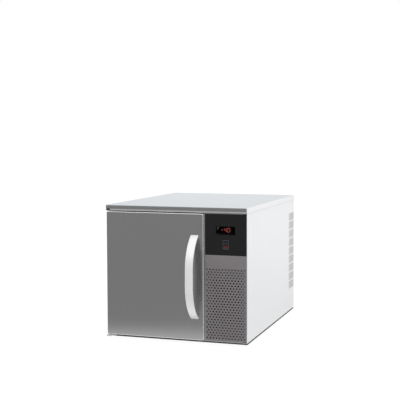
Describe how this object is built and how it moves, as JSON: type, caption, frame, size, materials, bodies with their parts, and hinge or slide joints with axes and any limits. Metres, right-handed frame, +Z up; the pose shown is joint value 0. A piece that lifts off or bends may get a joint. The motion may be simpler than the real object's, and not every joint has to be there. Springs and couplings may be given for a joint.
{
  "type": "blast chiller",
  "caption": "Table-top blast chiller with a side-hinged insulated door, a bowed pull handle, a control fascia over a perforated grille and a side refrigeration compartment.",
  "frame": {"origin": "middle of the whole part's footprint, bowed handle included, on the surface that the feet stand on", "axes": "+Z up, +Y to the rear, +X to the right as seen from the front"},
  "size_m": [0.56, 0.762, 0.514],
  "materials": {
    "worktop_steel": "satin, fine brushed",
    "side_steel": "pale satin",
    "galvanised_sheet": "dull galvanised",
    "base_paint": "dark satin",
    "liner_steel": "satin",
    "rubber": "matt",
    "breaker_plastic": "matt",
    "foam": "open cell",
    "black_plastic": "satin moulded",
    "black_enamel": "gloss",
    "fin_metal": "thin fins",
    "nylon": "natural",
    "hinge_steel": "satin",
    "door_steel": "brushed, dark reflection",
    "handle_steel": "bright satin",
    "fascia_black": "satin black",
    "window_black": "polished",
    "grille_paint": "grey satin powder coat",
    "copper": "drawn copper"
  },
  "bodies": {
    "cabinet": {"worktop_lid": "worktop_steel", "left_side_panel": "side_steel", "right_side_panel": "side_steel", "back_panel": "galvanised_sheet", "grille_backing_plate": "galvanised_sheet", "chamber_fan_strap": "galvanised_sheet", "condenser_shroud": "galvanised_sheet", "condenser_fan_strap": "galvanised_sheet", "compressor_mount": "galvanised_sheet", "control_box": "galvanised_sheet", "base_pan": "base_paint", "partition_panel": "liner_steel", "chamber_liner": "liner_steel", "tray_rack_left": "liner_steel", "tray_rack_right": "liner_steel", "chamber_fan_baffle": "liner_steel", "chamber_fan_guard": "liner_steel", "foot_front_left": "rubber", "foot_front_right": "rubber", "foot_rear_left": "rubber", "foot_rear_right": "rubber", "breaker_frame": "breaker_plastic", "insulation_foam": "foam", "display_housing": "black_plastic", "switch_bezel": "black_plastic", "power_inlet": "black_plastic", "chamber_fan_motor": "black_enamel", "condenser_fan_motor": "black_enamel", "compressor": "black_enamel", "evaporator_coil": "fin_metal", "condenser_coil": "fin_metal", "drain_tube": "nylon", "hinge_bracket_lower": "hinge_steel", "hinge_bracket_upper": "hinge_steel", "hinge_pin_lower": "hinge_steel", "hinge_pin_upper": "hinge_steel", "column_frame": "door_steel", "control_fascia": "fascia_black", "display_window": "window_black", "perforated_grille": "grille_paint", "discharge_pipe": "copper", "suction_pipe": "copper", "liquid_pipe": "copper", "filter_drier": "copper"},
    "door": {"door_outer_panel": "door_steel", "door_foam": "foam", "door_inner_panel": "liner_steel", "door_gasket": "rubber", "door_handle": "handle_steel", "handle_stud_lower": "galvanised_sheet", "handle_stud_upper": "galvanised_sheet", "door_bush_lower": "nylon", "door_bush_upper": "nylon"},
    "chamber_fan": {"chamber_fan_rotor": "black_plastic"},
    "condenser_fan": {"condenser_fan_rotor": "black_plastic"},
    "key_1": {"display_key_1": "rubber"},
    "key_2": {"display_key_2": "rubber"},
    "key_3": {"display_key_3": "rubber"},
    "key_4": {"display_key_4": "rubber"},
    "rocker": {"power_rocker": "black_plastic"}
  },
  "joints": [
    {"name": "door_hinge", "type": "hinge", "parent": "cabinet", "child": "door", "pos_m": [-0.262, -0.299, 0.25], "axis": [0, 0, -1], "range_deg": [0, 110]},
    {"name": "chamber_fan_spin", "type": "hinge", "parent": "cabinet", "child": "chamber_fan", "pos_m": [-0.079, 0.1385, 0.256], "axis": [0, 1, 0], "continuous": true},
    {"name": "condenser_fan_spin", "type": "hinge", "parent": "cabinet", "child": "condenser_fan", "pos_m": [0.1987, -0.2487, 0.171], "axis": [0, 1, 0], "continuous": true},
    {"name": "key_1_press", "type": "slide", "parent": "cabinet", "child": "key_1", "axis": [0, 1, 0], "range_m": [0, 0.0007], "stiffness_N_per_m": 400, "springref_m": -0.0004},
    {"name": "key_2_press", "type": "slide", "parent": "cabinet", "child": "key_2", "axis": [0, 1, 0], "range_m": [0, 0.0007], "stiffness_N_per_m": 400, "springref_m": -0.0004},
    {"name": "key_3_press", "type": "slide", "parent": "cabinet", "child": "key_3", "axis": [0, 1, 0], "range_m": [0, 0.0007], "stiffness_N_per_m": 400, "springref_m": -0.0004},
    {"name": "key_4_press", "type": "slide", "parent": "cabinet", "child": "key_4", "axis": [0, 1, 0], "range_m": [0, 0.0007], "stiffness_N_per_m": 400, "springref_m": -0.0004},
    {"name": "rocker_tilt", "type": "hinge", "parent": "cabinet", "child": "rocker", "pos_m": [0.1993, -0.315, 0.3782], "axis": [-1, 0, 0], "range_deg": [0, 16.9]}
  ]
}
